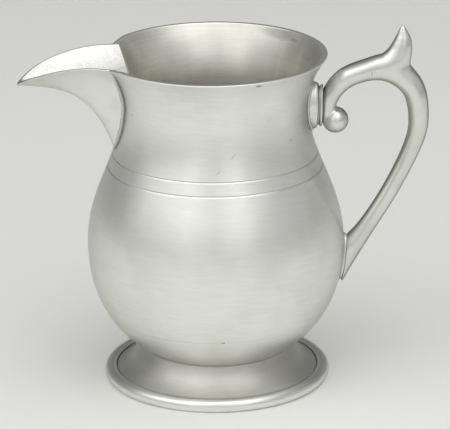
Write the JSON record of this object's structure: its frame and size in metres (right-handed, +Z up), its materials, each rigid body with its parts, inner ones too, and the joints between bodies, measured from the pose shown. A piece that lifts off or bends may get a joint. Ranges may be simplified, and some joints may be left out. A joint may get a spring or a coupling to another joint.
{
  "type": "pewter creamer",
  "caption": "Small footed pewter cream jug with a bulbous spun body, flared rim, beak spout and a cast scroll handle with a thumb spur, for holding and pouring cream.",
  "frame": {"origin": "middle of the object's box, seen from above, on the plane that the foot ring stands on", "axes": "+X from the spout towards the handle, +Y across, +Z up the body's axis"},
  "size_m": [0.1267, 0.0798, 0.1133],
  "materials": {
    "spun_pewter": "satin pewter with fine turning lines",
    "cast_pewter": "hand-polished satin pewter",
    "solder": "dull grey pewter solder"
  },
  "bodies": {
    "root": {"body": "spun_pewter", "foot": "spun_pewter", "spout": "spun_pewter", "handle": "cast_pewter", "handle_socket": "cast_pewter", "handle_pad": "cast_pewter", "foot_rim_ring": "cast_pewter", "spout_solder": "solder", "socket_solder": "solder", "pad_solder": "solder", "foot_solder": "solder", "ring_solder": "solder"}
  },
  "joints": []
}
